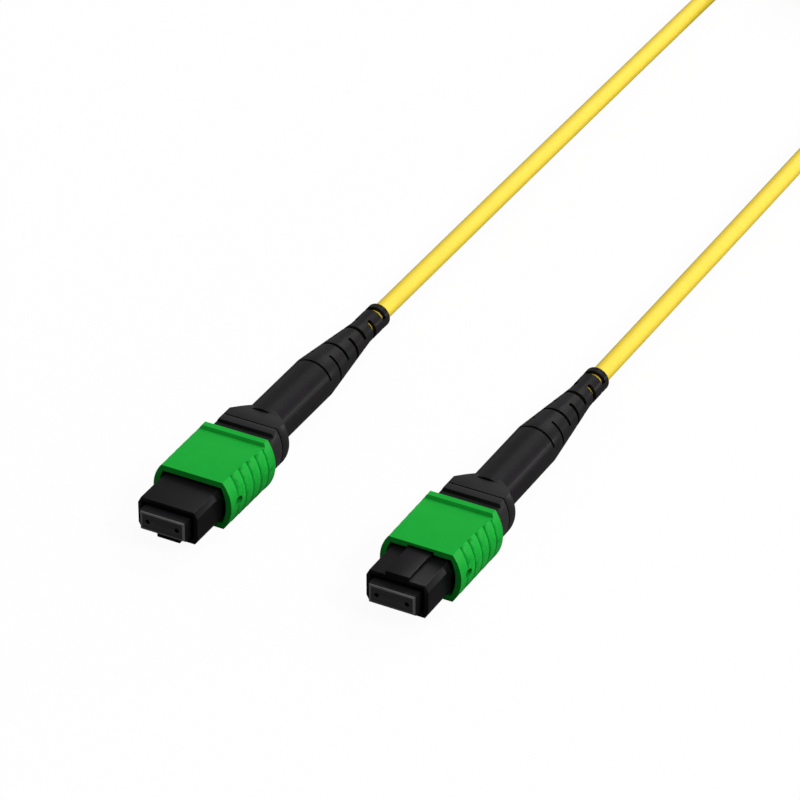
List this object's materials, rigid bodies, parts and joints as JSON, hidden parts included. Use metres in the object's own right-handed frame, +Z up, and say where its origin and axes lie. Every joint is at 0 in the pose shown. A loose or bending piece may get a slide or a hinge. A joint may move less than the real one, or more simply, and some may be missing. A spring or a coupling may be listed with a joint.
{
  "type": "mpo fibre connector",
  "caption": "Multi-fibre push-on connector with green pull-back sleeve, black boot and yellow cable, which leads to a like connector at its far end.",
  "frame": {"origin": "on the table, below the middle of the near connector's length and width", "axes": "+Y from the ferrule face back along the cable, +X across, +Z up with the key on top"},
  "size_m": [0.0481, 0.2249, 0.0076],
  "materials": {
    "green_plastic": "satin moulded",
    "black_plastic": "satin moulded",
    "black_rubber": "matt moulded",
    "ferrule_resin": "fine ground",
    "yellow_jacket": "smooth extruded",
    "spring_steel": "bright drawn",
    "crimp_metal": "plain turned",
    "fibre": "clear coated",
    "yarn": "loose yarn",
    "tie_strap": "hook and loop"
  },
  "bodies": {
    "lead": {"fibre_ribbon": "fibre", "main_spring": "spring_steel", "inner_housing": "black_plastic", "rear_body": "black_plastic", "left_return_spring": "spring_steel", "right_return_spring": "spring_steel", "strength_yarn": "yarn", "crimp_ring": "crimp_metal", "rear_collar": "black_plastic", "boot": "black_rubber", "cable_end": "yellow_jacket", "far_fibre_ribbon": "fibre", "far_main_spring": "spring_steel", "far_inner_housing": "black_plastic", "far_rear_body": "black_plastic", "far_left_return_spring": "spring_steel", "far_right_return_spring": "spring_steel", "far_strength_yarn": "yarn", "far_crimp_ring": "crimp_metal", "far_rear_collar": "black_plastic", "far_boot": "black_rubber", "far_cable_end": "yellow_jacket", "cord_near": "yellow_jacket", "cord_coil": "yellow_jacket", "cord_far": "yellow_jacket", "coil_tie": "tie_strap"},
    "sleeve": {"coupling_sleeve": "green_plastic"},
    "floating_ferrule": {"ferrule": "ferrule_resin", "ferrule_rubber": "black_rubber", "pin_clamp": "spring_steel"},
    "far_sleeve": {"far_coupling_sleeve": "green_plastic"},
    "far_floating_ferrule": {"far_ferrule": "ferrule_resin", "far_ferrule_rubber": "black_rubber", "far_pin_clamp": "spring_steel"}
  },
  "joints": [
    {"name": "sleeve_pull", "type": "slide", "parent": "lead", "child": "sleeve", "axis": [0, 1, 0], "range_m": [0, 0.002], "stiffness_N_per_m": 800, "springref_m": -0.002, "deforming": ["left_return_spring", "right_return_spring"]},
    {"name": "ferrule_float", "type": "slide", "parent": "lead", "child": "floating_ferrule", "axis": [0, 1, 0], "range_m": [0, 0.0008], "stiffness_N_per_m": 4000, "springref_m": -0.0015, "deforming": ["main_spring", "fibre_ribbon"]},
    {"name": "far_sleeve_pull", "type": "slide", "parent": "lead", "child": "far_sleeve", "axis": [0, 1, 0], "range_m": [0, 0.002], "stiffness_N_per_m": 800, "springref_m": -0.002, "deforming": ["far_left_return_spring", "far_right_return_spring"]},
    {"name": "far_ferrule_float", "type": "slide", "parent": "lead", "child": "far_floating_ferrule", "axis": [0, 1, 0], "range_m": [0, 0.0008], "stiffness_N_per_m": 4000, "springref_m": -0.0015, "deforming": ["far_main_spring", "far_fibre_ribbon"]}
  ]
}
